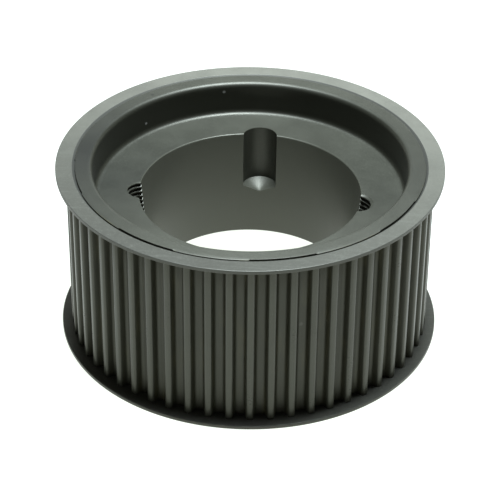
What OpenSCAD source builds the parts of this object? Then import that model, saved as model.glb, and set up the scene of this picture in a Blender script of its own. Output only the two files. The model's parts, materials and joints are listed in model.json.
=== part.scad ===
// Flanged timing pulley with a tapered bore for a split locking bush.
// Millimetres. Origin at the pulley's centre, +Z towards the bore's large end, +Y towards
// its plain half hole.

/* [Belt teeth] */
// Number of teeth round the rim
teeth = 56; // [50:1:68]
// Tooth spacing along the belt's pitch line
pitch = 8; // [6.6:0.1:9.6]
// Height of the belt's pitch line above the tooth tips
pitch_line_rise = 0.686; // [0.5:0.001:0.9]
// Depth of each groove below the tooth tips
groove_depth = 3.4; // [2.8:0.1:4]
// Width of each groove at the tooth tips, before its edges are rounded
groove_mouth = 5.4; // [4.8:0.1:6]
// Lean of a groove's sides from its centre line, degrees
groove_lean = 16; // [12:0.5:20]
// Radius in the bottom corners of a groove
groove_root_round = 1.4; // [0.8:0.1:1.6]
// Radius on the edges of a tooth's tip
tooth_tip_round = 0.8; // [0.3:0.1:0.9]
// Turn of the teeth about the axis, from one centred on +X, degrees
tooth_turn = -0.5; // [-3.2:0.1:3.2]

/* [Body] */
// Overall width across the two flanges
width = 71.5; // [60:0.5:86]
// Rim thickness between the flange seat and the mouth of the recess
rim_wall = 6.6; // [5.5:0.1:8]
// Lean of the recess wall, left by the casting pattern, degrees
recess_draft = 1.5; // [1:0.5:5]
// Radius between the recess wall and the hub face
recess_foot_round = 2; // [1:0.1:2.4]
// Radius on the rim's inner edge
rim_edge_round = 2.1; // [0.6:0.1:2.2]
// Length of the hub, the same as the bush's
hub_length = 44.5; // [37:0.5:53.5]

/* [Bore] */
// Diameter of the bore at its large end
bore_d = 85.7; // [71.4:0.1:102]
// Slope of the bore wall to its axis, degrees
bore_slope = 4; // [3:0.5:5]
// Bevel on the edges of the bore
bore_edge = 0.5; // [0.3:0.1:1]

/* [Half holes] */
// Distance of the half holes' centres inside the bore's large edge
hole_inset = 1.2; // [0.5:0.1:2.5]
// Diameter of the plain half hole that the removal screw pushes against
plain_d = 13.5; // [11.2:0.1:16]
// Depth of the plain half hole to the start of its drill point
plain_depth = 23.4; // [18:0.1:28]
// Diameter of the threaded half holes over their threads
thread_d = 12.7; // [10.6:0.1:15.2]
// Diameter of the threaded half holes inside their threads
tap_d = 10.8; // [9:0.1:12.9]
// Depth of the threaded half holes to the start of their drill points
tap_depth = 30; // [24:0.5:34]
// Bevel round the mouth of a half hole
hole_edge = 0.3; // [0.1:0.1:0.6]
// Full angle of a drill point, degrees
drill_point = 135; // [118:1:140]
// Angle from the plain half hole to each threaded one, degrees
thread_turn = 95.2; // [90:0.1:100]

/* [Flanges] */
// Rise of a flange's edge above the tooth tips
flange_rise = 3.9; // [3:0.1:5]
// Thickness of a flange
flange_t = 1.5; // [1.2:0.1:2]
// Step from the groove bottoms down to the flange's seat
seat_step = 0.25; // [0.1:0.05:0.5]
// Bevel on the outer edges of a flange
flange_edge = 0.25; // [0.1:0.05:0.4]
// Bevel on the inner edge of a flange, where the rim is staked over it
flange_bevel = 1.2; // [0.8:0.1:1.3]

/* [Stakes] */
// Number of stakes that hold each flange
stakes = 8; // [4:1:12]
// Arc of each stake, degrees
stake_arc = 24; // [15:1:28]
// Direction of the first stake about the axis, degrees
stake_turn = -6.7; // [-22.5:0.1:22.5]
// Reach of a stake outwards over the flange's bevel
stake_reach = 0.6; // [0.4:0.05:0.75]
// Width of the sloped mark a stake leaves on the rim
stake_mark = 1.3; // [0.6:0.05:1.6]

/* [Hidden] */
tip_r = teeth * pitch / (2 * PI) - pitch_line_rise;
root_r = tip_r - groove_depth;
seat_r = root_r - seat_step;
flange_r = tip_r + flange_rise;
end_z = width / 2;
seat_z = end_z - flange_t;
web_z = hub_length / 2;
mouth_r = seat_r - rim_wall;
bore_r = bore_d / 2;
hole_r = bore_r - hole_inset;
plain_turn = 90;
// How far cutting shapes run past what they cut
past = 1;
// How far a rounding runs over the straight sides it joins, so that they cross cleanly
cross = 0.01;
// Radius of the flat that a drill's web leaves at the tip of its point
web_r = 0.4;
tooth_facets = 180;
round_facets = 48;
hole_facets = 64;

function groove_half(r) = groove_mouth / 2 - (tip_r - r) * tan(groove_lean);
function wall_r(z) = mouth_r - (end_z - z) * tan(recess_draft);
function bore_wall_r(z) = bore_r - (web_z - z) * tan(bore_slope);
function groove_root_x() = root_r + groove_root_round;
function groove_root_y() = groove_half(groove_root_x()) - groove_root_round / cos(groove_lean);
function tip_round_at_axis() = groove_half(0) + tooth_tip_round / cos(groove_lean);
function tip_round_x() =
    let (a = tip_round_at_axis(), b = tan(groove_lean), k = 1 + b * b)
    (-a * b + sqrt(a * a * b * b - k * (a * a - pow(tip_r - tooth_tip_round, 2)))) / k;
function tip_round_y() = tip_round_at_axis() + tip_round_x() * tan(groove_lean);

// One side of a groove, from its floor out past the tooth tip; side is 1 or -1
function groove_edge(side) =
    let (
        far_r = tip_r + past,
        root_x = groove_root_x(),
        root_y = groove_root_y(),
        tip_x = tip_round_x(),
        tip_y = tip_round_y(),
        edge = tip_r / (tip_r - tooth_tip_round)
    )
    [
        [root_r, side * root_y],
        [
            root_x - groove_root_round * sin(groove_lean),
            side * (root_y + groove_root_round * cos(groove_lean))
        ],
        [
            tip_x + tooth_tip_round * sin(groove_lean),
            side * (tip_y - tooth_tip_round * cos(groove_lean))
        ],
        [tip_x * edge, side * tip_y * edge],
        [far_r, side * tip_y * edge]
    ];
function turned_round(list) = [for (i = [len(list) - 1 : -1 : 0]) list[i]];

// A groove, its centre line along +X
module groove() {
    difference() {
        union() {
            polygon(concat(groove_edge(-1), turned_round(groove_edge(1))));
            for (side = [-1, 1])
                translate([groove_root_x(), side * groove_root_y()])
                    circle(r = groove_root_round + cross, $fn = round_facets);
        }
        for (side = [-1, 1])
            translate([tip_round_x(), side * tip_round_y()])
                rotate(180)
                    circle(r = tooth_tip_round + cross, $fn = round_facets);
    }
}

module toothed_rim() {
    linear_extrude(height = 2 * seat_z, center = true)
        difference() {
            circle(r = tip_r, $fn = tooth_facets);
            for (i = [0 : teeth - 1])
                rotate(tooth_turn + (i + 0.5) * 360 / teeth)
                    groove();
        }
}

// Half section of the recess at the +Z end, with its rounded foot and mouth
module recess_section() {
    foot_z = web_z + recess_foot_round;
    foot_r = wall_r(foot_z) - recess_foot_round / cos(recess_draft);
    edge_z = end_z - rim_edge_round;
    edge_r = wall_r(edge_z) + rim_edge_round / cos(recess_draft);
    difference() {
        union() {
            polygon([
                [0, web_z],
                [foot_r, web_z],
                [foot_r + recess_foot_round * cos(recess_draft), foot_z - recess_foot_round * sin(recess_draft)],
                [edge_r - rim_edge_round * cos(recess_draft), edge_z + rim_edge_round * sin(recess_draft)],
                [edge_r, end_z],
                [edge_r, end_z + past],
                [0, end_z + past]
            ]);
            translate([foot_r, foot_z])
                circle(r = recess_foot_round + cross, $fn = round_facets);
        }
        translate([edge_r, edge_z])
            rotate(180)
                circle(r = rim_edge_round + cross, $fn = round_facets);
    }
}

module recess() {
    rotate_extrude($fn = tooth_facets)
        recess_section();
}

module bore() {
    low_r = bore_wall_r(-web_z);
    rotate_extrude($fn = tooth_facets)
        polygon([
            [0, -web_z - past],
            [low_r + bore_edge + past, -web_z - past],
            [bore_wall_r(-web_z + bore_edge), -web_z + bore_edge],
            [bore_wall_r(web_z - bore_edge), web_z - bore_edge],
            [bore_r + bore_edge + past, web_z + past],
            [0, web_z + past]
        ]);
}

// A drilled hole from the origin down, its mouth bevelled out to mouth_r
module drilled(r, depth, mouth_r) {
    rotate_extrude($fn = hole_facets)
        polygon([
            [0, -depth - (r - web_r) / tan(drill_point / 2)],
            [web_r, -depth - (r - web_r) / tan(drill_point / 2)],
            [r, -depth],
            [r, r - mouth_r],
            [mouth_r + past, past],
            [0, past]
        ]);
}

module half_holes() {
    rotate(plain_turn)
        translate([hole_r, 0, web_z])
            drilled(plain_d / 2, plain_depth, plain_d / 2 + hole_edge);
    for (side = [-1, 1])
        rotate(plain_turn + side * thread_turn)
            translate([hole_r, 0, web_z])
                drilled(tap_d / 2, tap_depth, thread_d / 2 + hole_edge);
}

// Runs its children round one end of the rim, once for each stake
module at_stakes() {
    for (i = [0 : stakes - 1])
        rotate(stake_turn - stake_arc / 2 + i * 360 / stakes)
            rotate_extrude(angle = stake_arc, $fn = tooth_facets)
                children();
}

module stake_lip() {
    polygon([
        [seat_r - stake_mark, end_z - flange_bevel],
        [seat_r, end_z - flange_bevel],
        [seat_r + stake_reach, end_z - flange_bevel + stake_reach],
        [seat_r + stake_reach, end_z],
        [seat_r - stake_mark, end_z]
    ]);
}

module stake_slope() {
    polygon([
        [seat_r - stake_mark, end_z],
        [seat_r + stake_reach, end_z - flange_bevel + stake_reach],
        [seat_r + stake_reach, end_z + past],
        [seat_r - stake_mark, end_z + past]
    ]);
}

module toothed_body() {
    color("dimgray")
        difference() {
            union() {
                toothed_rim();
                cylinder(r = seat_r, h = width, center = true, $fn = tooth_facets);
                for (end = [0, 1])
                    mirror([0, 0, end])
                        at_stakes()
                            stake_lip();
            }
            for (end = [0, 1])
                mirror([0, 0, end]) {
                    recess();
                    at_stakes()
                        stake_slope();
                }
            bore();
            half_holes();
        }
}

module flange() {
    rotate_extrude($fn = tooth_facets)
        polygon([
            [seat_r, seat_z],
            [flange_r - flange_edge, seat_z],
            [flange_r, seat_z + flange_edge],
            [flange_r, end_z - flange_edge],
            [flange_r - flange_edge, end_z],
            [seat_r + flange_bevel, end_z],
            [seat_r, end_z - flange_bevel]
        ]);
}

module upper_flange() {
    color("gray")
        flange();
}

module lower_flange() {
    color("gray")
        mirror([0, 0, 1])
            flange();
}

toothed_body();
upper_flange();
lower_flange();
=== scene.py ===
"""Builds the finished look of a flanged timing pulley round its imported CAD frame."""

import json
import math

import bmesh
import bpy
import numpy as np
from mathutils import Matrix, Vector


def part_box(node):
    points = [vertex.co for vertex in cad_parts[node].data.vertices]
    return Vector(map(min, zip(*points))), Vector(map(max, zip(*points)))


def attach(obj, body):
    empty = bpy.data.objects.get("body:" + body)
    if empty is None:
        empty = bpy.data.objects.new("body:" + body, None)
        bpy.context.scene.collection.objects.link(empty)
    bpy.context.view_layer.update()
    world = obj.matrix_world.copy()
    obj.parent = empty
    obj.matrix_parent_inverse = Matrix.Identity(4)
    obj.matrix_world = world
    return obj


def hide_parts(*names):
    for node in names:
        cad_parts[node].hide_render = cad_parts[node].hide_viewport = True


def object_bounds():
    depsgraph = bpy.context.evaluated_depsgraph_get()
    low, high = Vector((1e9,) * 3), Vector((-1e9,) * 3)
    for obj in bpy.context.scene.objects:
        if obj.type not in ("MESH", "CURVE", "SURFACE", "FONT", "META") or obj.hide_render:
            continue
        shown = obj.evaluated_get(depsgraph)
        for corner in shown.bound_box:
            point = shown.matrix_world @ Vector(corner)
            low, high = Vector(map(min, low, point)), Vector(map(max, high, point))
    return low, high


bl_info = {
    "name": "Flanged Timing Pulley",
    "version": (1, 0, 0),
    "blender": (4, 5, 0),
    "location": "3D View > Sidebar > Pulley",
    "description": "Builds a flanged timing pulley with a tapered bore and its studio stage",
    "category": "Add Mesh",
}

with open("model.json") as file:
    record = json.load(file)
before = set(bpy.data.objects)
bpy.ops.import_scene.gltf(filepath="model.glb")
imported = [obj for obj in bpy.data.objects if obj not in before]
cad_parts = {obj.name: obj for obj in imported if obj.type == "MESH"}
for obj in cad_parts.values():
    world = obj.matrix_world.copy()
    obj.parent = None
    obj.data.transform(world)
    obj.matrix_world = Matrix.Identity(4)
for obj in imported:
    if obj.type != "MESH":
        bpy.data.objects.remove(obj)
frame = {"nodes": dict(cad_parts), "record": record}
CAD_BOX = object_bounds()
RECORD = frame["record"]
BODY_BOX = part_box("toothed_body")
FLANGE_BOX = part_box("upper_flange")
MM = 0.001


def mount_place(name):
    """Where the record puts one of the pulley's mounts."""
    return Vector(next(m["pos_m"] for m in RECORD["mounts"] if m["name"] == name))


def inner_radius(node):
    """Smallest distance of a CAD node's surface from the bore axis."""
    return min(math.hypot(v.co.x, v.co.y) for v in frame["nodes"][node].data.vertices)


END_Z = BODY_BOX[1].z
WEB_Z = mount_place("hub_face").z
PLAIN_HOLE = mount_place("plain_half_hole")
TAPPED_HOLES = (mount_place("threaded_half_hole_a"), mount_place("threaded_half_hole_b"))
SEAT_RADIUS = inner_radius("upper_flange")
SMALL_BORE_RADIUS = inner_radius("toothed_body")

# How far a face looks up or down before it counts as level
LEVEL_BAND = (0.75, 0.95)
# Distance from one turning mark to the next, on the level faces and on the bore wall
FACE_MARK_PITCH = 0.24 * MM
WALL_MARK_PITCH = 0.28 * MM
# Sideways slope of the turning marks on the level faces, and the dish of a flange
FACE_MARK_SLOPE = 0.17
FLANGE_DISH_SLOPE = 0.05
# Radii between which one finish passes into the next, from the bore out to the flanges
BORE_TO_HUB = (43.3 * MM, 43.6 * MM)
HUB_TO_RECESS = (55 * MM, 56 * MM)
HUB_TO_RIM = (60 * MM, 61 * MM)
RECESS_TO_RIM = (61.2 * MM, 61.8 * MM)
GROOVE_FLOOR = (SEAT_RADIUS - 0.1 * MM, SEAT_RADIUS)
GROOVE_MOUTH = (SEAT_RADIUS + 2.2 * MM, SEAT_RADIUS + 3.1 * MM)
TOOTH_TIP = (SEAT_RADIUS + 3.0 * MM, SEAT_RADIUS + 3.4 * MM)
FLANGE_BEVEL_TOP = (SEAT_RADIUS + 1.12 * MM, SEAT_RADIUS + 1.2 * MM)
# Heights between which the teeth are painted darker and rougher towards the upper flange, as painted shade
# beneath it
FLANGE_SHADE_HEIGHT = (18 * MM, 34 * MM)
# Heights between which a groove passes into the shoulder that a flange sits on
SHOULDER_HEIGHT = (END_Z - 1.55 * MM, END_Z - 1.45 * MM)
# How much lighter a flange is painted towards +Y, and towards +X on the lower and the upper flange, as
# painted light
PAINTED_BACK_LIGHT = 0.42
PAINTED_SIDE_LIGHT = (-0.3, 0.1)
# Shares of the flange's grey where its phosphate is heavier, also used for its painted shaded side, and
# for its painted lit side
THICK_AND_SHADE_SHARE, PAINTED_LIGHT_SHARE = 0.42, 1.75
# Shares of the iron's phosphate where the mottling thins it and where its grain shows
MOTTLED_SHARE, GRAINY_SHARE = 0.78, 1.55
# Linear colours of the finishes, of the painted shade in the recesses, grooves and crevices and on the
# sides of level faces, of all gloss and of the floor's own light
PAINTED_CREVICE_SHADE = (0.006, 0.006, 0.005, 1.0)
PAINTED_SIDE_SHADE = (0.006, 0.0065, 0.006, 1.0)
PIT_BLACK = (0.004, 0.004, 0.004, 1.0)
PAINTED_RECESS_SHADE = (0.009, 0.0093, 0.006, 1.0)
PAINTED_GROOVE_SHADE = (0.012, 0.0115, 0.004, 1.0)
OIL_STAIN = (0.048, 0.044, 0.020, 1.0)
BORED_GREY = (0.062, 0.063, 0.048, 1.0)
STREAK_GREY = (0.06, 0.06, 0.054, 1.0)
SPECK_GREY = (0.30, 0.30, 0.28, 1.0)
CHIP_GREY = (0.24, 0.24, 0.22, 1.0)
ROLLED_GREY = (0.11, 0.114, 0.095, 1.0)
GRAIN_GREY = (0.15, 0.152, 0.125, 1.0)
SHEARED_GREY = (0.045, 0.046, 0.041, 1.0)
GLOSS_TINT = (1.0, 1.0, 0.86, 1.0)
FLOOR_GLOW_COLOUR = (0.94, 1.0, 0.92, 1.0)
# Chips that show bare metal, as direction in degrees, radius, height, size and strength
CHIPS = (
    (105.8, 60.15 * MM, 32.3 * MM, 0.8 * MM, 1.0),
    (139.7, 60.1 * MM, 26.6 * MM, 0.7 * MM, 1.0),
    (-68.2, 67.3 * MM, 5.8 * MM, 1.0 * MM, 0.6),
)
# A dark pit on the rim's flat, as direction in degrees, radius, height and size
PIT = (133.6, 64.2 * MM, END_Z, 0.9 * MM)
# Depth that the bump of a finish works over
BUMP_DEPTH = 0.02 * MM
# Angle over which a stake's end runs out
STAKE_RUN_OUT = math.radians(0.45)
# Radius of the flat that a drill's web leaves at the tip of its point
DRILL_WEB = 0.4 * MM
# Height of a thread's run-out above the start of its drill point
THREAD_START = 1.5 * MM
# Shares of a thread's pitch taken by half of its flat and by one of its flanks
THREAD_FLAT = 0.125
THREAD_FLANK = 0.3125
# Points round a threaded half hole and steps along one pitch of its thread
THREAD_AROUND = 64
THREAD_STEPS = 14
# Points round the plain half hole, and its mouth as extra radius and height over the hub face
PLAIN_AROUND = 96
PLAIN_MOUTH = (
    (0.0, -0.45 * MM),
    (0.0, -0.22 * MM),
    (0.03 * MM, -0.12 * MM),
    (0.30 * MM, 0.15 * MM),
    (1.0 * MM, 0.9 * MM),
)
# The recesses and the bore take every fourth point of the rim's outline
COARSE_STEP = 4
# Steps along the rounded edges of the teeth, rim, recess foot, bore, flanges and floor
TOOTH_STEPS, RIM_STEPS, FOOT_STEPS, BORE_STEPS, FLANGE_STEPS, SWEEP_STEPS = 4, 9, 7, 5, 4, 8
# From the flange seat in to where the rim is flat all round, inside the stakes' marks
FLAT_INSET = 2.2 * MM
# Distances from the rounded edges to the rings that keep the faces beside them flat
RIM_HOLD, FOOT_WALL_HOLD, FOOT_HUB_HOLD = 0.4 * MM, 0.3 * MM, 0.5 * MM
BORE_HUB_HOLD, BORE_WALL_HOLD = 0.35 * MM, 0.25 * MM
# How far the rings along the bore wall stay from its ends, and how far up the teeth's rings go
BORE_RING_INSET = 4 * MM
TOOTH_RING_REACH = END_Z * 0.6
# A flange's flat faces between their edges, as distances from the seat and from the rim
FLANGE_SEAT_HOLD, FLANGE_RIM_HOLD = 3 * MM, 1 * MM
# A flange's inner edge, as extra radius over its bevel and depth below its face
FLANGE_LIP = ((1 * MM, 0.0), (0.10 * MM, 0.0), (0.03 * MM, 0.01 * MM), (-0.03 * MM, 0.05 * MM))
# Rounding of a flange's outer edges, and the points round a flange
FLANGE_SOFT_EDGE = 0.28 * MM
FLANGE_AROUND = 448
# Faces meeting at more than this angle, in degrees, keep a crisp edge
CRISP_ANGLE = 32
# How strongly large faces pull the shading of the smaller ones beside them
NORMAL_WEIGHT = 60
# The floor's sweep: half its width, its reach behind, the height of its back and its bend
SWEEP_SIDE, SWEEP_BACK, SWEEP_TALL, SWEEP_BEND = 3.0, 1.3, 0.62, 0.15
# The light overhead and the strength of the faint light all round
SOFTBOX_SIDE = 0.30
SOFTBOX_ENERGY = 31.0
SOFTBOX_COLOUR = (0.90, 1.0, 1.10)
SOFTBOX_PLACE = (0.06, 0.05, 0.95)
SKY_STRENGTH = 0.05
# Width of the camera's sensor, in millimetres
SENSOR_WIDTH = 36.0


def length(name, description, default):
    """A length property, in metres."""
    return bpy.props.FloatProperty(
        name=name,
        description=description,
        default=default,
        min=0.0,
        precision=5,
        subtype="DISTANCE",
        unit="LENGTH",
    )


def angle(name, description, degrees):
    """An angle property, given in degrees."""
    return bpy.props.FloatProperty(
        name=name, description=description, default=math.radians(degrees), subtype="ANGLE", unit="ROTATION"
    )


def colour(name, description, default):
    """A linear colour property."""
    return bpy.props.FloatVectorProperty(
        name=name, description=description, default=default, size=3, min=0.0, max=1.0, subtype="COLOR"
    )


class ToothSizes(bpy.types.PropertyGroup):
    """Sizes of the belt teeth."""

    count: bpy.props.IntProperty(
        name="Teeth", description="Number of teeth round the rim", default=56, min=12
    )
    turn: angle("Turn", "Direction of the first tooth from +X", -0.5)
    depth: length("Groove depth", "Depth of a groove below the tooth tips", 3.4 * MM)
    mouth: length("Groove mouth", "Width of a groove at the tooth tips before rounding", 5.4 * MM)
    lean: angle("Groove lean", "Lean of a groove's sides from its centre line", 16)
    root_round: length("Root round", "Radius in the bottom corners of a groove", 1.4 * MM)
    tip_round: length("Tip round", "Radius on the edges of a tooth's tip", 1.0 * MM)


class BodySizes(bpy.types.PropertyGroup):
    """Sizes of the rim, the recesses and the bore."""

    rim_wall: length("Rim wall", "From the flange seat in to the mouth of the recess", 6.6 * MM)
    draft: angle("Recess draft", "Lean of the recess wall", 1.5)
    foot_round: length("Foot round", "Radius between the recess wall and the hub face", 2.0 * MM)
    edge_round: length("Rim edge round", "Radius on the rim's inner edge", 2.1 * MM)
    bore_slope: angle("Bore slope", "Slope of the bore wall to its axis", 4)
    bore_edge: length("Bore edge", "Bevel on the edges of the bore", 0.5 * MM)
    plain_radius: length("Plain half hole", "Radius of the plain half hole", 6.75 * MM)
    plain_depth: length("Plain depth", "Depth of the plain half hole to its drill point", 23.4 * MM)
    thread_radius: length("Thread radius", "Radius over the threads of a half hole", 6.35 * MM)
    tap_radius: length("Tap radius", "Radius inside the threads of a half hole", 5.4 * MM)
    tap_depth: length("Tap depth", "Depth of a threaded half hole to its drill point", 30 * MM)
    thread_pitch: length("Thread pitch", "Distance from one thread to the next", 1.954 * MM)
    drill_point: angle("Drill point", "Full angle of a drill point", 135)


class StakeSizes(bpy.types.PropertyGroup):
    """Sizes of the stakes that hold the flanges on."""

    count: bpy.props.IntProperty(
        name="Stakes", description="Number of stakes at each end", default=8, min=1
    )
    arc: angle("Arc", "Arc of one stake", 24)
    turn: angle("Turn", "Direction of the first stake from +X", -6.7)
    reach: length("Reach", "Reach of a stake outwards over the flange's bevel", 0.34 * MM)
    mark: length("Mark", "Width of the sloped mark on the rim", 1.3 * MM)
    fall: length("Fall", "Depth of the mark at a stake's outer edge", 0.18 * MM)
    step: length("Edge round", "Rounding of the rim's edge between stakes", 0.08 * MM)
    bevel: length("Flange bevel", "Bevel on the inner edge of a flange", 1.2 * MM)


class Finishes(bpy.types.PropertyGroup):
    """Colours of the metals and the stage."""

    phosphate: colour("Phosphate", "Black phosphate on the machined iron", (0.034, 0.035, 0.026))
    flange_grey: colour("Flange grey", "Thin phosphate on the sheet steel flanges", (0.074, 0.0735, 0.060))
    floor_white: colour("Floor", "Matt white of the studio floor", (0.16, 0.16, 0.16))
    floor_glow: bpy.props.FloatProperty(
        name="Floor glow", description="Light that the floor gives off", default=1.1, min=0.0
    )


class CameraPlace(bpy.types.PropertyGroup):
    """Where the camera stands and how it is turned."""

    distance: length("Distance", "From the middle of the upper end face", 0.77366)
    azimuth: angle("Azimuth", "Turn of the camera about the bore axis from -Y", 5.3)
    elevation: angle("Elevation", "Height of the camera above the horizon", 31.489)
    pitch: angle("Pitch", "Tilt of the camera down from its target", 2.525)
    yaw: angle("Yaw", "Turn of the camera aside from its target", 0.018)
    roll: angle("Roll", "Roll of the camera about its line of sight", -0.590)
    focal: bpy.props.FloatProperty(
        name="Focal length", description="Lens focal length in millimetres", default=145.41, min=10
    )


# ---------------------------------------------------------------- shader wiring


class Wire:
    """An output socket that arithmetic can be written on."""

    def __init__(self, board, socket):
        self.board = board
        self.socket = socket

    def maths(self, operation, *values):
        return self.board.node(
            "ShaderNodeMath", {"operation": operation}, dict(enumerate(values))
        )

    def __add__(self, other):
        return self.maths("ADD", self, other)

    def __radd__(self, other):
        return self.maths("ADD", other, self)

    def __sub__(self, other):
        return self.maths("SUBTRACT", self, other)

    def __rsub__(self, other):
        return self.maths("SUBTRACT", other, self)

    def __mul__(self, other):
        return self.maths("MULTIPLY", self, other)

    def __rmul__(self, other):
        return self.maths("MULTIPLY", other, self)

    def __truediv__(self, other):
        return self.maths("DIVIDE", self, other)

    def sine(self):
        return self.maths("SINE", self)

    def size(self):
        return self.maths("ABSOLUTE", self)

    def root(self):
        return self.maths("SQRT", self)

    def above(self, low, high):
        """0 below low, 1 above high, smooth between."""
        return self.board.node(
            "ShaderNodeMapRange",
            {"interpolation_type": "SMOOTHSTEP"},
            {"Value": self, "From Min": low, "From Max": high},
        )


class Board:
    """The node tree of one material."""

    def __init__(self, name):
        self.material = bpy.data.materials.new(name)
        self.material.use_nodes = True
        self.tree = self.material.node_tree
        self.tree.nodes.clear()

    def node(self, kind, settings=None, inputs=None, output=0):
        """Adds a node: its settings first, then the values or wires of its sockets."""
        made = self.tree.nodes.new(kind)
        for key, value in (settings or {}).items():
            setattr(made, key, value)
        for key, value in (inputs or {}).items():
            socket = made.inputs[key]
            if isinstance(value, Wire):
                self.tree.links.new(value.socket, socket)
            else:
                socket.default_value = value
        return Wire(self, made.outputs[output])

    def mix(self, factor, first, second):
        """Mixes two colours."""
        return self.node(
            "ShaderNodeMix",
            {"data_type": "RGBA"},
            {0: factor, 6: first, 7: second},
            2,
        )

    def layered(self, base, layers):
        """A colour under layers, each a share and the colour that it brings in."""
        for share, tint in layers:
            base = self.mix(share, base, tint)
        return base

    def grain(self, vector, scale, detail=2.0, roughness=0.5):
        """A noise from 0 to 1 whose features are about 1/scale metres across."""
        return self.node(
            "ShaderNodeTexNoise",
            None,
            {"Vector": vector, "Scale": scale, "Detail": detail, "Roughness": roughness},
        )

    def place(self):
        """The surface point as a vector, and its x, y and z."""
        point = self.node("ShaderNodeTexCoord", output="Object")
        parts = [self.node("ShaderNodeSeparateXYZ", None, {"Vector": point}, axis) for axis in "XYZ"]
        return point, parts

    def level(self):
        """1 on faces that look straight up or down, 0 on upright ones."""
        facing = self.node("ShaderNodeNewGeometry", output="Normal")
        upwards = self.node("ShaderNodeSeparateXYZ", None, {"Vector": facing}, "Z")
        return upwards.size().above(*LEVEL_BAND)

    def stretched(self, x, y, z, scales, detail):
        """A noise whose features are stretched by a scale along each axis."""
        along = {axis: part * scale for axis, part, scale in zip("XYZ", (x, y, z), scales)}
        return self.grain(self.node("ShaderNodeCombineXYZ", None, along), 1.0, detail, 0.6)

    def bump(self, strength, height, normal):
        """A normal roughened by a height."""
        return self.node(
            "ShaderNodeBump",
            None,
            {"Strength": strength, "Distance": BUMP_DEPTH, "Height": height, "Normal": normal},
        )

    def spot(self, point, direction, radius, height, size):
        """1 in a small spot on the surface, at a direction in degrees, a radius and a height."""
        turn = math.radians(direction)
        centre = (radius * math.cos(turn), radius * math.sin(turn), height)
        ends = {0: point, 1: centre}
        off = self.node("ShaderNodeVectorMath", {"operation": "DISTANCE"}, ends, "Value")
        return 1.0 - off.above(0.5 * size, size)

    def leaning(self, x, y, slope):
        """The surface normal, leaned outwards from the bore axis by a slope."""
        radius = (x * x + y * y).root()
        outward = self.node(
            "ShaderNodeCombineXYZ", None, {"X": x / radius * slope, "Y": y / radius * slope}
        )
        normal = self.node("ShaderNodeNewGeometry", output="Normal")
        leaned = self.node("ShaderNodeVectorMath", {"operation": "ADD"}, {0: normal, 1: outward})
        return self.node("ShaderNodeVectorMath", {"operation": "NORMALIZE"}, {0: leaned})

    def finish(self, colour, roughness, bump, specular=0.5, glow=0.0):
        """Ends the material in a Principled surface."""
        surface = self.node(
            "ShaderNodeBsdfPrincipled",
            None,
            {
                "Base Color": colour,
                "Roughness": roughness,
                "Normal": bump,
                "Specular IOR Level": specular,
                "Specular Tint": GLOSS_TINT,
                "Emission Color": FLOOR_GLOW_COLOUR,
                "Emission Strength": glow,
            },
        )
        out = self.tree.nodes.new("ShaderNodeOutputMaterial")
        self.tree.links.new(surface.socket, out.inputs["Surface"])
        return self.material


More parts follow.
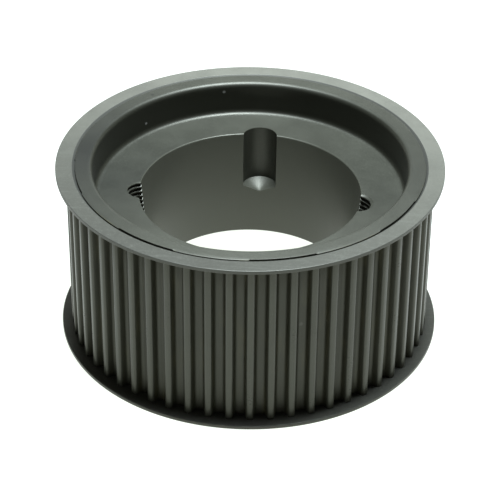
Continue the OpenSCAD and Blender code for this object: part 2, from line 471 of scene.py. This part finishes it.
def phosphated_iron(finishes):
    """Machined iron under black phosphate: turning marks, mottling, oil stains, chips and specks, with
    painted shade in the recesses, grooves and crevices, under the upper flange and on the sides of level
    faces.
    """
    board = Board("phosphated_iron")
    point, (x, y, z) = board.place()
    radius = (x * x + y * y).root()
    level = board.level()
    upright = 1.0 - level
    mottle = board.grain(point, 55.0, 4.0, 0.6)
    fine = board.grain(point, 1400.0, 3.0, 0.6)
    streak = board.stretched(x, y, z, (900.0, 900.0, 30.0), 2.0)
    stain = board.stretched(x, y, z, (260.0, 260.0, 45.0), 3.0)
    turned_face = (radius * (2 * math.pi / FACE_MARK_PITCH)).sine()
    turned_wall = (z * (2 * math.pi / WALL_MARK_PITCH)).sine()
    marks = turned_face * level + turned_wall * upright
    speck = board.node(
        "ShaderNodeTexVoronoi", {"feature": "F1"}, {"Vector": point, "Scale": 95.0, "Randomness": 1.0}
    )
    speck_here = 1.0 - speck.above(0.018, 0.034)
    speck_kept = speck_here * board.grain(point, 40.0, 0.0).above(0.62, 0.66)
    bored = (1.0 - radius.above(*BORE_TO_HUB)) * upright
    # Painted shade: the recess wall is darkened where shade falls inside the recess
    recess = radius.above(*HUB_TO_RECESS) * (1.0 - radius.above(*RECESS_TO_RIM)) * upright
    # Painted shade: level faces darkened to the sides, more towards -X and on the rim, for how light falls
    # on them
    aside = (1.0 - (y / radius).size()) * (1.0 - 0.35 * (x / radius)) * level
    groove = radius.above(*GROOVE_FLOOR) * (1.0 - radius.above(*GROOVE_MOUTH))
    # Painted shade in the crevice where the grooves meet the shoulder under a flange, also made rougher
    shoulder = groove * z.size().above(*SHOULDER_HEIGHT) * upright
    # Painted shade on the teeth beneath the upper flange, also made rougher
    shade_under_flange = radius.above(*GROOVE_FLOOR) * z.above(*FLANGE_SHADE_HEIGHT) * upright
    tipped = radius.above(*TOOTH_TIP)
    black, mottled, grainy = (
        (*(c * share for c in finishes.phosphate), 1.0) for share in (1.0, MOTTLED_SHARE, GRAINY_SHARE)
    )
    layers = [
        (fine.above(0.5, 0.75) * 0.6, grainy),
        (streak.above(0.55, 0.8) * upright * 0.25, STREAK_GREY),
        (speck_kept * 0.5, SPECK_GREY),
        (recess * 0.9, PAINTED_RECESS_SHADE),
        (aside * (0.4 + 0.32 * radius.above(*HUB_TO_RIM)), PAINTED_SIDE_SHADE),
        *((board.spot(point, *chip) * (0.8 * strength), CHIP_GREY) for *chip, strength in CHIPS),
        (board.spot(point, *PIT) * 0.8, PIT_BLACK),
        (bored * 0.75, BORED_GREY),
        # painted shade in the grooves
        (groove * upright * 0.6, PAINTED_GROOVE_SHADE),
        (shoulder * 0.85, PAINTED_CREVICE_SHADE),
        (shade_under_flange * 0.5, PAINTED_GROOVE_SHADE),
        (groove * stain.above(0.48, 0.72) * 0.5, OIL_STAIN),
    ]
    base = board.layered(board.mix(mottle.above(0.3, 0.72), mottled, black), layers)
    roughness = 0.44 + (mottle - 0.5) * 0.16 + (fine - 0.5) * 0.14
    roughness = roughness - bored * 0.06 + shoulder * 0.3 + shade_under_flange * 0.16 - tipped * 0.13
    height = marks * 0.35 + fine * 1.2 + mottle * 0.8
    turned = board.leaning(x, y, turned_face * level * FACE_MARK_SLOPE)
    return board.finish(base, roughness, board.bump(0.35, height, turned))


def flange_steel(finishes):
    """Sheet steel under a thinly laid grey phosphate: cloudy, faintly streaked, painted lighter towards
    the back and unevenly from side to side as painted light and shade, with painted shade at its inner
    crevice.
    """
    board = Board("flange_steel")
    point, (x, y, z) = board.place()
    radius = (x * x + y * y).root()
    cloud = board.grain(point, 70.0, 4.0, 0.6)
    fine = board.grain(point, 1800.0, 3.0, 0.65)
    level = board.level()
    rolled = board.stretched(x, y, z, (60.0, 900.0, 60.0), 3.0)
    upper = z.above(0.0, END_Z)
    # Painted light: the flange's grey runs lighter towards +Y on the upper flange and shifts along X, for
    # how light falls on it
    side_light = PAINTED_SIDE_LIGHT[0] + (PAINTED_SIDE_LIGHT[1] - PAINTED_SIDE_LIGHT[0]) * upper
    painted_light = 0.5 + PAINTED_BACK_LIGHT * (y / radius) * upper + (x / radius) * side_light
    # Painted shade in the crevice at a flange's inner bevel, also made rougher
    crevice = (1.0 - radius.above(*FLANGE_BEVEL_TOP)) * (1.0 - level)
    thick_and_shade, lit_grey = (
        (*(c * share for c in finishes.flange_grey), 1.0) for share in (THICK_AND_SHADE_SHARE, PAINTED_LIGHT_SHARE)
    )
    layers = [
        (cloud.above(0.3, 0.7) * 0.3, thick_and_shade),
        (rolled.above(0.5, 0.8) * 0.3, ROLLED_GREY),
        (fine.above(0.5, 0.75) * 0.3, GRAIN_GREY),
        ((1.0 - level) * 0.72, SHEARED_GREY),
        (crevice * 0.3, PAINTED_CREVICE_SHADE),
    ]
    base = board.layered(board.mix(painted_light, thick_and_shade, lit_grey), layers)
    roughness = 0.44 + (cloud - 0.5) * 0.16 + (fine - 0.5) * 0.2 + crevice * 0.1
    height = fine * 1.6 + rolled * 0.6
    dished = board.leaning(x, y, level * FLANGE_DISH_SLOPE)
    return board.finish(base, roughness, board.bump(0.3, height, dished))


def floor_white(finishes):
    """Matt white studio floor with the faintest grain."""
    board = Board("floor_white")
    point, _ = board.place()
    fine = board.grain(point, 300.0, 2.0)
    white = (*finishes.floor_white, 1.0)
    base = board.mix(fine * 0.15, white, (*(c * 0.97 for c in finishes.floor_white), 1.0))
    bump = board.node("ShaderNodeBump", None, {"Strength": 0.02, "Distance": 0.1 * MM, "Height": fine})
    return board.finish(base, 0.9, bump, 0.0, finishes.floor_glow)


# ---------------------------------------------------------------- shapes


def arc_points(centre, radius, start, end, steps):
    """Points on an arc in a half section, from angle start to angle end, both included."""
    return [
        (centre[0] + radius * math.cos(a), centre[1] + radius * math.sin(a))
        for a in np.linspace(start, end, steps + 1)
    ]


def tooth_outline(teeth, tip_radius):
    """Directions and radii of the rim's outline over one pitch, from a groove's centre on."""
    lean = teeth.lean
    root_radius = tip_radius - teeth.depth
    slope = math.tan(lean)
    half = teeth.mouth / 2 - tip_radius * slope
    root_x = root_radius + teeth.root_round
    root_y = half + root_x * slope - teeth.root_round / math.cos(lean)
    start = half + teeth.tip_round / math.cos(lean)
    spread = 1 + slope * slope
    reach = tip_radius - teeth.tip_round
    tip_x = (-start * slope + math.sqrt((start * slope) ** 2 - spread * (start**2 - reach**2))) / spread
    tip_y = start + tip_x * slope
    quarter = math.pi / 2
    root_centre = (root_x, root_y)
    root_arc = arc_points(root_centre, teeth.root_round, math.pi, quarter + lean, TOOTH_STEPS)
    tip_angle = math.atan2(tip_y, tip_x)
    tip_centre = (tip_x, tip_y)
    tip_arc = arc_points(tip_centre, teeth.tip_round, lean - quarter, tip_angle, TOOTH_STEPS)
    side = [(root_radius, 0.0), *root_arc, *tip_arc]
    directions = [math.atan2(y, x) for x, y in side]
    radii = [math.hypot(x, y) for x, y in side]
    land_start, land_end = directions[-1], math.pi / teeth.count
    for share in (0.3, 0.65, 1.0):
        directions.append(land_start + (land_end - land_start) * share)
        radii.append(tip_radius)
    back_directions = [2 * land_end - d for d in directions[-2:0:-1]]
    back_radii = radii[-2:0:-1]
    return np.array(directions + back_directions), np.array(radii + back_radii)


def rim_outline(teeth, tip_radius):
    """Directions and radii of the whole toothed outline."""
    directions, radii = tooth_outline(teeth, tip_radius)
    pitch = 2 * math.pi / teeth.count
    turns = teeth.turn + (np.arange(teeth.count) + 0.5) * pitch
    return (turns[:, None] + directions[None, :]).ravel(), np.tile(radii, teeth.count)


def ring(directions, radii, heights):
    """Points of one ring; its radii and heights may each be one number for all directions."""
    heights = np.broadcast_to(heights, directions.shape)
    return np.stack([radii * np.cos(directions), radii * np.sin(directions), heights], 1)


def near_stake(directions, stakes):
    """1 inside a stake's arc, 0 between stakes, with short ramps at its ends."""
    gap = 2 * math.pi / stakes.count
    off = np.abs((directions - stakes.turn + gap / 2) % gap - gap / 2)
    share = np.clip((stakes.arc / 2 + STAKE_RUN_OUT / 2 - off) / STAKE_RUN_OUT, 0, 1)
    return share * share * (3 - 2 * share)


def end_rings(directions, outline, seat, stakes, end_z, flange_thick, side):
    """Rings from the toothed band over the shoulder and its stakes to the flat of the rim."""
    staked = near_stake(directions, stakes)
    step = stakes.step
    # Steps outwards and upwards from the top edge of the seat, between stakes and over a stake
    seated = -(stakes.bevel - stakes.reach)
    plain = (
        (0.0, -4 * step),
        (0.0, -step),
        (-0.3 * step, -0.3 * step),
        (-step, 0.0),
        (-0.35 * stakes.mark, 0.0),
        (-0.7 * stakes.mark, 0.0),
    )
    shaped = (
        (stakes.reach, seated),
        (stakes.reach, -1.25 * stakes.fall),
        (0.85 * stakes.reach, -stakes.fall),
        (0.45 * stakes.reach, -0.72 * stakes.fall),
        (-0.2 * stakes.mark, -0.38 * stakes.fall),
        (-0.6 * stakes.mark, -0.1 * stakes.fall),
    )
    rings = [
        ring(directions, outline, side * (end_z - flange_thick)),
        ring(directions, seat, side * (end_z - flange_thick)),
        ring(directions, seat, side * (end_z - stakes.bevel)),
    ]
    for (plain_out, plain_up), (staked_out, staked_up) in zip(plain, shaped):
        out = plain_out * (1 - staked) + staked_out * staked
        up = plain_up * (1 - staked) + staked_up * staked
        rings.append(ring(directions, seat + out, side * (end_z + up)))
    for inward in (stakes.mark, 1.3 * stakes.mark):
        rings.append(ring(directions, seat - inward, side * end_z))
    return rings


def inside_section(body, seat, end_z, web_z, bore_radius):
    """Half section of one end, from the rim's flat down the recess wall and in to the bore's edge."""
    draft = body.draft
    mouth = seat - body.rim_wall

    def wall(z):
        return mouth - (end_z - z) * math.tan(draft)

    edge_z = end_z - body.edge_round
    edge_r = wall(edge_z) + body.edge_round / math.cos(draft)
    foot_z = web_z + body.foot_round
    foot_r = wall(foot_z) - body.foot_round / math.cos(draft)
    quarter = math.pi / 2
    points = [(seat - FLAT_INSET, end_z), (edge_r + RIM_HOLD, end_z)]
    points += arc_points((edge_r, edge_z), body.edge_round, quarter, math.pi - draft, RIM_STEPS)
    points += [(wall(z), z) for z in np.linspace(edge_z - RIM_HOLD, foot_z + FOOT_WALL_HOLD, 4)]
    points += arc_points((foot_r, foot_z), body.foot_round, -draft, -quarter, FOOT_STEPS)
    slope = math.tan(body.bore_slope)
    edge = body.bore_edge
    points += [
        (foot_r - FOOT_HUB_HOLD, web_z),
        ((foot_r + bore_radius) / 2, web_z),
        (bore_radius + edge + BORE_HUB_HOLD, web_z),
        *arc_points((bore_radius + edge, web_z - edge), edge, quarter, math.pi, BORE_STEPS),
        (bore_radius - (edge + BORE_WALL_HOLD) * slope, web_z - edge - BORE_WALL_HOLD),
    ]
    return points


def closed_piece(mesh, name):
    """Turns a bmesh into an object of the scene, its faces looking outwards."""
    bmesh.ops.recalc_face_normals(mesh, faces=mesh.faces)
    data = bpy.data.meshes.new(name)
    mesh.to_mesh(data)
    mesh.free()
    piece = bpy.data.objects.new(name, data)
    bpy.context.scene.collection.objects.link(piece)
    return piece


def joined(mesh, first, second):
    """Lays four-sided faces between two rings of as many points."""
    for i in range(len(first)):
        j = (i + 1) % len(first)
        mesh.faces.new((first[i], first[j], second[j], second[i]))


def stitched(rings, name):
    """A closed mesh through rings of points, of which a ring may have fewer than the one before."""
    mesh = bmesh.new()
    made = [[mesh.verts.new(p) for p in one] for one in rings]
    for first, second in zip(made, made[1:] + made[:1]):
        if len(first) == len(second):
            joined(mesh, first, second)
            continue
        fine, coarse = (first, second) if len(first) > len(second) else (second, first)
        times = len(fine) // len(coarse)
        for i, corner in enumerate(coarse):
            edge = [fine[(i * times + k) % len(fine)] for k in range(times + 1)]
            mesh.faces.new((*edge, coarse[(i + 1) % len(coarse)], corner))
    return closed_piece(mesh, name)


def hole_cutter(rows, place, name):
    """A closed cutter from rows of (radius per direction, height), standing at a hole's mouth."""
    mesh = bmesh.new()
    made = []
    for radii, height in rows:
        around = np.arange(len(radii)) * 2 * math.pi / len(radii)
        made.append(
            [
                mesh.verts.new((place.x + r * math.cos(a), place.y + r * math.sin(a), place.z + height))
                for r, a in zip(radii, around)
            ]
        )
    for low, high in zip(made, made[1:]):
        joined(mesh, low, high)
    mesh.faces.new(made[0][::-1])
    mesh.faces.new(made[-1])
    return closed_piece(mesh, name)


def drill_rows(radius, depth, point, around):
    """Rows of the end of a drilled hole, from the tip of its point up."""
    tall = (radius - DRILL_WEB) / math.tan(point / 2)
    rows = [(np.full(around, DRILL_WEB), -depth - tall)]
    rows += [
        (np.full(around, DRILL_WEB + (radius - DRILL_WEB) * share), -depth - tall * (1 - share))
        for share in (0.35, 0.7, 0.97)
    ]
    rows.append((np.full(around, radius), -depth + 0.12 * MM))
    return rows


def plain_cutter(body, place):
    """Cutter of the plain half hole, its mouth slightly bevelled."""
    rows = drill_rows(body.plain_radius, body.plain_depth, body.drill_point, PLAIN_AROUND)
    rows += [
        (np.full(PLAIN_AROUND, body.plain_radius + wider), height)
        for wider, height in ((0.0, -body.plain_depth / 2), *PLAIN_MOUTH)
    ]
    return hole_cutter(rows, place, "plain_cutter")


def thread_cutter(body, place, name):
    """Cutter of a threaded half hole: a right-handed thread that runs out above the drill point."""
    directions = np.arange(THREAD_AROUND) / THREAD_AROUND
    deep = body.thread_radius - body.tap_radius
    rows = drill_rows(body.tap_radius, body.tap_depth, body.drill_point, THREAD_AROUND)
    low = THREAD_START - body.tap_depth
    count = int(-low / body.thread_pitch * THREAD_STEPS)
    for height in np.linspace(low, 0.5 * MM, count + 1):
        turn = (height / body.thread_pitch - directions + 0.5) % 1.0
        rise = np.clip((np.abs(turn - 0.5) - THREAD_FLAT) / THREAD_FLANK, 0, 1)
        fade = np.clip((height - low) / (3 * body.thread_pitch), 0, 1)
        radii = body.tap_radius + deep * (1 - rise) * fade
        mouth = body.tap_radius + 0.5 * MM + height
        rows.append((np.maximum(radii, mouth), height))
    return hole_cutter(rows, place, name)


def cut(piece, cutters):
    """Takes the cutters out of the piece and removes them."""
    for cutter in cutters:
        change = piece.modifiers.new("cut", "BOOLEAN")
        change.operation = "DIFFERENCE"
        change.solver = "EXACT"
        change.object = cutter
    settle(piece)
    for cutter in cutters:
        bpy.data.meshes.remove(cutter.data)


def settle(piece):
    """Applies every modifier of a piece."""
    graph = bpy.context.evaluated_depsgraph_get()
    graph.update()
    done = bpy.data.meshes.new_from_object(piece.evaluated_get(graph))
    old = piece.data
    piece.modifiers.clear()
    piece.data = done
    bpy.data.meshes.remove(old)
    done.name = piece.name


def shade(piece):
    """Smooth shading with crisp edges."""
    data = piece.data
    data.shade_smooth()
    data.set_sharp_from_angle(angle=math.radians(CRISP_ANGLE))
    weight = piece.modifiers.new("even_normals", "WEIGHTED_NORMAL")
    weight.keep_sharp = True
    weight.weight = NORMAL_WEIGHT
    settle(piece)


def settled_in(piece, node, material):
    """Hands a piece to the frame in place of its CAD node."""
    piece.data.materials.clear()
    piece.data.materials.append(material)
    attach(piece, "root")
    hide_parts(node)


# ---------------------------------------------------------------- operators


class PULLEY_OT_toothed_body(bpy.types.Operator):
    """Build the toothed body with its recesses, tapered bore, half holes and stakes"""

    bl_idname = "pulley.toothed_body"
    bl_label = "Toothed Body"

    def execute(self, context):
        scene = context.scene
        teeth, body, stakes = scene.pulley_teeth, scene.pulley_body, scene.pulley_stakes
        flange_thick = FLANGE_BOX[1].z - FLANGE_BOX[0].z
        slope = math.tan(body.bore_slope)
        bore_radius = SMALL_BORE_RADIUS + 2 * WEB_Z * slope - body.bore_edge * slope
        directions, outline = rim_outline(teeth, BODY_BOX[1].x)
        coarse = directions[::COARSE_STEP]
        ends = [
            end_rings(directions, outline, SEAT_RADIUS, stakes, END_Z, flange_thick, side)
            for side in (1, -1)
        ]
        upper, lower = (
            [
                ring(coarse, r, side * z)
                for r, z in inside_section(body, SEAT_RADIUS, END_Z, WEB_Z, mouth_radius)
            ]
            for side, mouth_radius in ((1, bore_radius), (-1, bore_radius - 2 * WEB_Z * slope))
        )
        wall_heights = np.linspace(WEB_Z - BORE_RING_INSET, -WEB_Z + BORE_RING_INSET, 9)
        walls = [ring(coarse, bore_radius - (WEB_Z - z) * slope, z) for z in wall_heights]
        band_heights = np.linspace(-TOOTH_RING_REACH, TOOTH_RING_REACH, 5)
        band = [ring(directions, outline, z) for z in band_heights]
        rings = ends[1][::-1] + band + ends[0] + upper + walls + lower[::-1]
        piece = stitched(rings, "toothed_body_shape")
        cutters = [plain_cutter(body, PLAIN_HOLE)]
        cutters += [
            thread_cutter(body, place, f"thread_cutter_{i}") for i, place in enumerate(TAPPED_HOLES)
        ]
        cut(piece, cutters)
        shade(piece)
        settled_in(piece, "toothed_body", phosphated_iron(scene.pulley_finishes))
        return {"FINISHED"}


class PULLEY_OT_flanges(bpy.types.Operator):
    """Build the two flange rings with their rounded edges"""

    bl_idname = "pulley.flanges"
    bl_label = "Flanges"

    def execute(self, context):
        scene = context.scene
        bevel = scene.pulley_stakes.bevel
        low, high = FLANGE_BOX[0].z, FLANGE_BOX[1].z
        outer = min(abs(corner[i]) for corner in FLANGE_BOX for i in (0, 1))
        soft = FLANGE_SOFT_EDGE
        quarter = math.pi / 2
        around = np.arange(FLANGE_AROUND) * 2 * math.pi / FLANGE_AROUND
        lip = SEAT_RADIUS + bevel
        inner_flat, outer_flat = SEAT_RADIUS + FLANGE_SEAT_HOLD, outer - FLANGE_RIM_HOLD
        points = [(SEAT_RADIUS, low), (inner_flat, low), (outer_flat, low)]
        points += arc_points((outer - soft, low + soft), soft, -quarter, 0, FLANGE_STEPS)
        points += arc_points((outer - soft, high - soft), soft, 0, quarter, FLANGE_STEPS)
        points.append((outer_flat, high))
        points += [(lip + wider, high - down) for wider, down in FLANGE_LIP]
        points.append((SEAT_RADIUS, high - bevel))
        material = flange_steel(scene.pulley_finishes)
        for side, node in ((1, "upper_flange"), (-1, "lower_flange")):
            rings = [ring(around, r, side * z) for r, z in points]
            piece = stitched(rings, node + "_shape")
            shade(piece)
            settled_in(piece, node, material)
        return {"FINISHED"}


class PULLEY_OT_stage(bpy.types.Operator):
    """Set the floor, the soft lights and the camera"""

    bl_idname = "pulley.stage"
    bl_label = "Stage"

    def execute(self, context):
        scene = context.scene
        self.lay_floor(scene)
        self.light(scene)
        self.aim(scene, scene.pulley_camera)
        scene.view_settings.view_transform = "Standard"
        return {"FINISHED"}

    @staticmethod
    def lay_floor(scene):
        """Lays a floor under the lower flange that bends up into a low back."""
        sweep = bpy.data.meshes.new("floor_sweep")
        bottom = CAD_BOX[0][2]
        turn_in = (SWEEP_BACK - SWEEP_BEND, bottom + SWEEP_BEND)
        profile = [(-SWEEP_SIDE, bottom)]
        profile += arc_points(turn_in, SWEEP_BEND, -math.pi / 2, 0, SWEEP_STEPS)
        profile.append((SWEEP_BACK, bottom + SWEEP_TALL))
        corners = [(x, y, z) for y, z in profile for x in (-SWEEP_SIDE, SWEEP_SIDE)]
        faces = [(i, i + 1, i + 3, i + 2) for i in range(0, 2 * len(profile) - 2, 2)]
        sweep.from_pydata(corners, [], faces)
        floor = bpy.data.objects.new("floor_sweep", sweep)
        scene.collection.objects.link(floor)
        sweep.materials.append(floor_white(scene.pulley_finishes))

    @staticmethod
    def light(scene):
        """Hangs one soft light overhead, in a faint light from all round."""
        world = bpy.data.worlds.new("studio")
        world.use_nodes = True
        sky = world.node_tree.nodes["Background"]
        sky.inputs["Color"].default_value = (1.0, 1.0, 1.0, 1.0)
        sky.inputs["Strength"].default_value = SKY_STRENGTH
        scene.world = world
        lamp = bpy.data.lights.new("overhead_softbox", "AREA")
        lamp.shape = "RECTANGLE"
        lamp.size = SOFTBOX_SIDE
        lamp.size_y = SOFTBOX_SIDE
        lamp.energy = SOFTBOX_ENERGY
        lamp.color = SOFTBOX_COLOUR
        softbox = bpy.data.objects.new("overhead_softbox", lamp)
        softbox.location = SOFTBOX_PLACE
        softbox.rotation_euler = (-softbox.location).to_track_quat("-Z", "Y").to_euler()
        scene.collection.objects.link(softbox)

    @staticmethod
    def aim(scene, place):
        """Stands the camera off the middle of the upper end face and turns it about its own axes."""
        lens = bpy.data.cameras.new("camera")
        lens.lens = place.focal
        lens.sensor_width = SENSOR_WIDTH
        lens.clip_start = 0.01
        camera = bpy.data.objects.new("camera", lens)
        turn, rise = place.azimuth, place.elevation
        back = Vector(
            (math.sin(turn) * math.cos(rise), -math.cos(turn) * math.cos(rise), math.sin(rise))
        )
        right = Vector((math.cos(turn), math.sin(turn), 0.0))
        upright = back.cross(right)
        axes = Matrix((right, upright, back))
        swing = (
            Matrix.Rotation(place.roll, 3, "Z")
            @ Matrix.Rotation(place.pitch, 3, "X")
            @ Matrix.Rotation(place.yaw, 3, "Y")
        )
        world = (swing @ axes).transposed().to_4x4()
        world.translation = Vector((0, 0, END_Z)) + back * place.distance
        camera.matrix_world = world
        scene.collection.objects.link(camera)
        scene.camera = camera


class PULLEY_PT_sidebar(bpy.types.Panel):
    """Lists the pulley's pieces and sizes"""

    bl_idname = "PULLEY_PT_sidebar"
    bl_label = "Timing Pulley"
    bl_space_type = "VIEW_3D"
    bl_region_type = "UI"
    bl_category = "Pulley"

    def draw(self, context):
        layout = self.layout
        for maker in OPERATORS:
            layout.operator(maker.bl_idname)
        for name in GROUPS:
            group = getattr(context.scene, name)
            box = layout.box()
            for key in group.__annotations__:
                box.prop(group, key)


GROUPS = {
    "pulley_teeth": ToothSizes,
    "pulley_body": BodySizes,
    "pulley_stakes": StakeSizes,
    "pulley_finishes": Finishes,
    "pulley_camera": CameraPlace,
}
OPERATORS = (PULLEY_OT_toothed_body, PULLEY_OT_flanges, PULLEY_OT_stage)


def register():
    for kind in (*GROUPS.values(), *OPERATORS, PULLEY_PT_sidebar):
        bpy.utils.register_class(kind)
    for name, kind in GROUPS.items():
        setattr(bpy.types.Scene, name, bpy.props.PointerProperty(type=kind))


def unregister():
    for name in GROUPS:
        delattr(bpy.types.Scene, name)
    for kind in reversed((*GROUPS.values(), *OPERATORS, PULLEY_PT_sidebar)):
        bpy.utils.unregister_class(kind)


def main():
    register()
    bpy.ops.pulley.toothed_body()
    bpy.ops.pulley.flanges()
    bpy.ops.pulley.stage()


if __name__ == "__main__":
    main()
